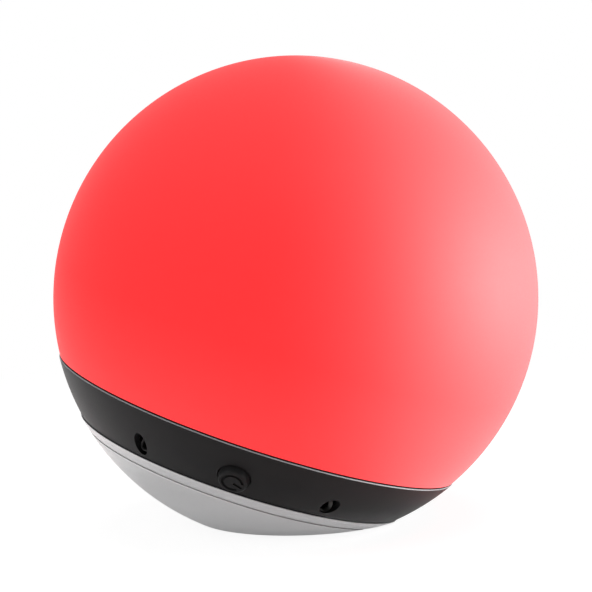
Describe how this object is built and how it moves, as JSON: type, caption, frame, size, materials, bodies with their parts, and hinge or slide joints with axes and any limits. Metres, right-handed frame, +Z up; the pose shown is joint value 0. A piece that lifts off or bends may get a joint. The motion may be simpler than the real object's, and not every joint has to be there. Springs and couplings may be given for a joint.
{
  "type": "smart speaker",
  "caption": "Leaning ball lamp with a loudspeaker in its base: translucent globe, tilted black control band with a power button and sockets, silver bowl with a level underside.",
  "frame": {"origin": "under the centre of the ball, on the surface that the foot pads stand on", "axes": "+Z up; the ball leans towards +X; the power button and the sockets face -Y"},
  "size_m": [0.18, 0.18, 0.173],
  "materials": {
    "lit_diffuser": "satin translucent, lit from inside",
    "satin_black": "satin",
    "silver_lacquer": "satin silver lacquer",
    "black_rubber": "matte",
    "white_plastic": "matte white",
    "led_white": "lit",
    "circuit_board": "solder resist",
    "black_plastic": "moulded",
    "nickel": "plated",
    "screw_steel": "zinc plated",
    "dark_metal": "black zinc",
    "ferrite": "sintered",
    "copper": "enamelled wire",
    "black_paper": "treated paper",
    "cloth": "resin-dipped cloth",
    "blue_wrap": "shrink sleeve"
  },
  "bodies": {
    "housing": {"globe": "lit_diffuser", "globe_seal": "black_rubber", "control_band": "satin_black", "base_bowl": "silver_lacquer", "grille_plate": "satin_black", "light_deck": "white_plastic", "led_board": "white_plastic", "switch_body": "dark_metal", "switch_board": "circuit_board", "main_board": "circuit_board", "bluetooth_module": "nickel", "amplifier_chip": "black_plastic", "capacitor": "nickel", "dc_jack": "black_plastic", "dc_pin": "nickel", "aux_jack": "black_plastic", "aux_sleeve": "nickel", "battery_cell": "blue_wrap", "battery_strap": "black_plastic", "speaker_gasket": "black_rubber", "speaker_frame": "dark_metal", "top_plate": "dark_metal", "magnet": "ferrite", "back_plate": "dark_metal", "surround": "black_rubber", "spider": "cloth", "led_1": "led_white", "led_2": "led_white", "led_3": "led_white", "led_4": "led_white", "led_5": "led_white", "led_6": "led_white", "led_7": "led_white", "led_8": "led_white", "foot_pad_1": "black_rubber", "foot_pad_2": "black_rubber", "foot_pad_3": "black_rubber", "foot_pad_4": "black_rubber", "joint_screw_1": "screw_steel", "joint_screw_2": "screw_steel", "joint_screw_3": "screw_steel", "joint_screw_4": "screw_steel", "deck_screw_1": "screw_steel", "deck_screw_2": "screw_steel", "deck_screw_3": "screw_steel", "speaker_screw_1": "screw_steel", "speaker_screw_2": "screw_steel", "speaker_screw_3": "screw_steel", "speaker_screw_4": "screw_steel", "board_screw_1": "screw_steel", "board_screw_2": "screw_steel", "strap_screw_1": "screw_steel", "strap_screw_2": "screw_steel", "switch_screw_1": "screw_steel", "switch_screw_2": "screw_steel"},
    "button": {"power_button": "satin_black", "switch_plunger": "black_plastic"},
    "diaphragm": {"cone": "black_paper", "dust_cap": "black_paper", "voice_coil": "copper"}
  },
  "joints": [
    {"name": "button_press", "type": "slide", "parent": "housing", "child": "button", "axis": [0.2252, 0.7581, 0.612], "range_m": [0, 0.0005], "stiffness_N_per_m": 400, "springref_m": -0.001},
    {"name": "cone_stroke", "type": "slide", "parent": "housing", "child": "diaphragm", "axis": [0, 0, 1], "range_m": [-0.001, 0.001], "stiffness_N_per_m": 1500, "deforming": ["surround", "spider"]}
  ]
}
